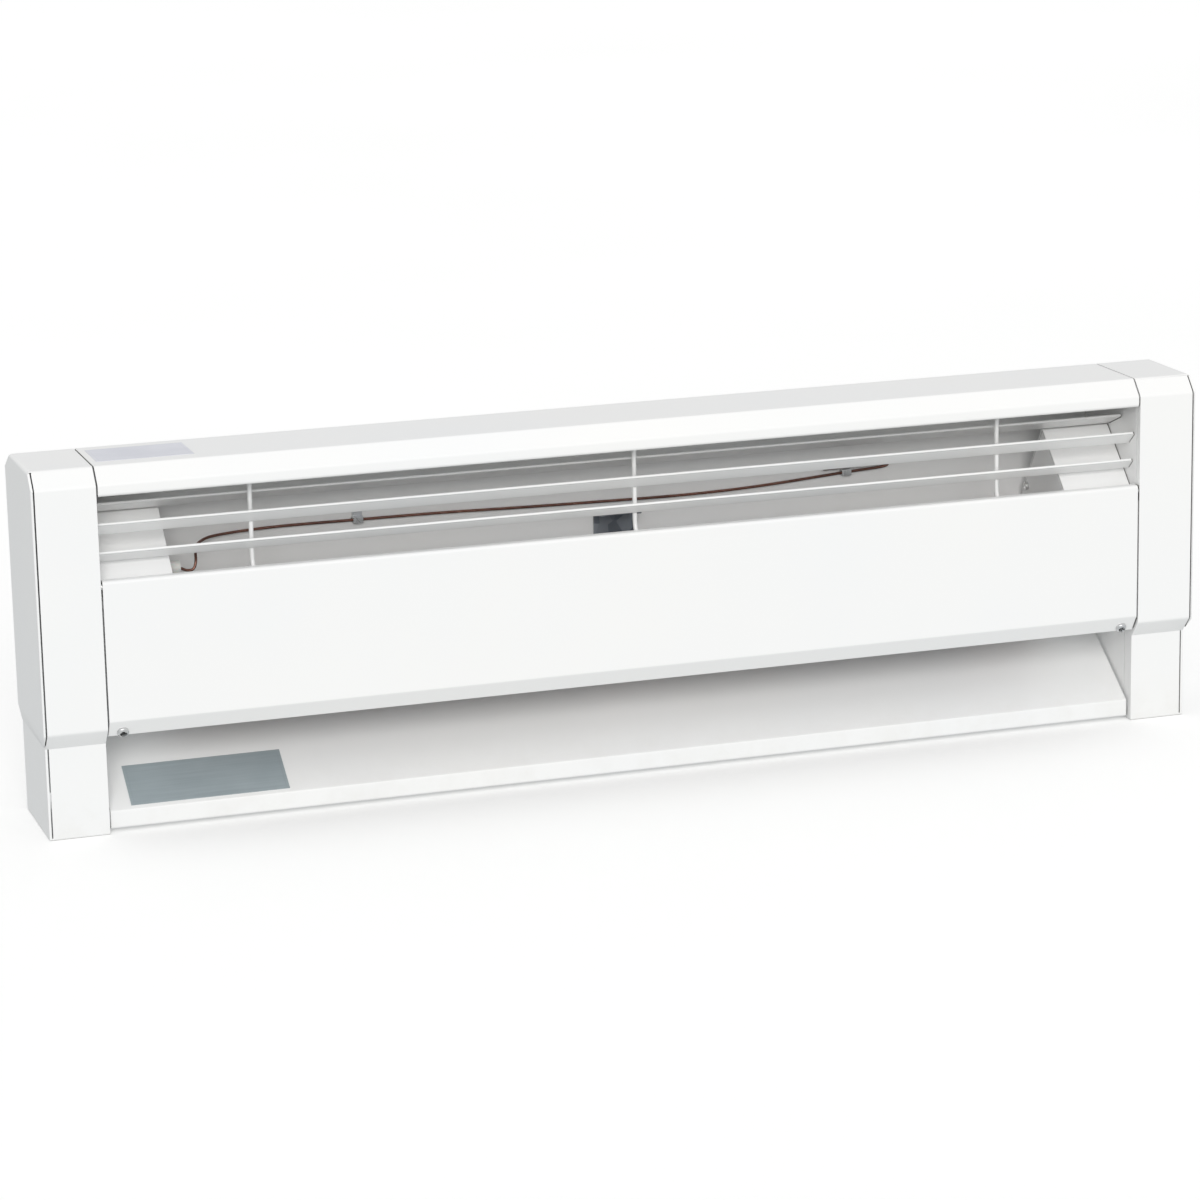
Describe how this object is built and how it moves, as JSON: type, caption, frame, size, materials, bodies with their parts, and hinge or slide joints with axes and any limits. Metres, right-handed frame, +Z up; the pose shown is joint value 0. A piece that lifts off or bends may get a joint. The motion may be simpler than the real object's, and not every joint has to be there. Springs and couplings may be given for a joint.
{
  "type": "baseboard heater",
  "caption": "Low white baseboard heater: folded sheet casing with end caps on inset feet, louvred outlet, swing-out front panel and a finned element tube.",
  "frame": {"origin": "on the floor under the middle of the casing", "axes": "+Z up, +X along the length towards the heater's right end seen from the room, +Y towards the wall, front at -Y"},
  "size_m": [0.711, 0.079, 0.2141],
  "materials": {
    "white_paint": "satin warm white powder coat",
    "galvanised": "matt galvanised sheet",
    "dark_steel": "dark galvanised sheet in shade",
    "zinc_screw": "bright zinc plate",
    "copper": "drawn copper, slightly dulled",
    "copper_capillary": "oxidised copper capillary",
    "brass": "turned brass",
    "fin_aluminium": "thin mill-finish aluminium",
    "white_plastic": "moulded nylon",
    "black_plastic": "moulded phenolic",
    "red_insulation": "braided high-temperature sleeve",
    "black_insulation": "braided high-temperature sleeve",
    "orange_plastic": "moulded connector",
    "green_paint": "green dyed screw",
    "silver_label": "satin metallised plate, blank",
    "grey_label": "pale blue-grey printed label, blank"
  },
  "bodies": {
    "casing": {"back_panel": "white_paint", "top_cover": "white_paint", "left_end_cap": "white_paint", "right_end_cap": "white_paint", "left_foot": "white_paint", "right_foot": "white_paint", "left_end_wall": "white_paint", "right_end_wall": "white_paint", "base_pan": "white_paint", "panel_pivot_pins": "zinc_screw", "panel_tabs": "galvanised", "grille_blade_upper": "white_paint", "grille_blade_middle": "white_paint", "grille_blade_lower": "white_paint", "grille_rib_left": "white_paint", "grille_rib_centre": "white_paint", "grille_rib_right": "white_paint", "grille_rail": "white_paint", "left_wiring_compartment": "white_paint", "right_wiring_compartment": "white_paint", "left_wiring_cover": "white_paint", "right_wiring_cover": "white_paint", "wiring_cover_screws": "zinc_screw", "compartment_screws": "zinc_screw", "compartment_tabs": "white_paint", "left_element_support": "galvanised", "centre_element_support": "dark_steel", "right_element_support": "galvanised", "element_glides": "white_plastic", "support_rivets": "zinc_screw", "limit_switch": "black_plastic", "capillary_tube": "copper_capillary", "capillary_bushing": "white_plastic", "capillary_clips": "zinc_screw", "through_wires": "red_insulation", "wire_bushings": "black_plastic", "supply_pigtails": "black_insulation", "wire_connectors": "orange_plastic", "ground_screw": "green_paint", "knockout_plug": "zinc_screw", "casing_screws": "zinc_screw", "rating_plate": "silver_label", "cover_label": "grey_label"},
    "panel": {"front_panel": "white_paint", "front_panel_screws": "zinc_screw"},
    "element": {"element_tube": "copper", "element_fins": "fin_aluminium", "immersion_heater": "brass", "element_end_cap": "copper", "fill_plug": "brass"}
  },
  "joints": [
    {"name": "front_panel_swing", "type": "hinge", "parent": "casing", "child": "panel", "pos_m": [0, -0.0368, 0.146], "axis": [-1, 0, 0], "range_deg": [0, 40]},
    {"name": "element_float", "type": "slide", "parent": "casing", "child": "element", "axis": [1, 0, 0], "range_m": [-0.0015, 0.0015], "deforming": ["through_wires"]}
  ]
}
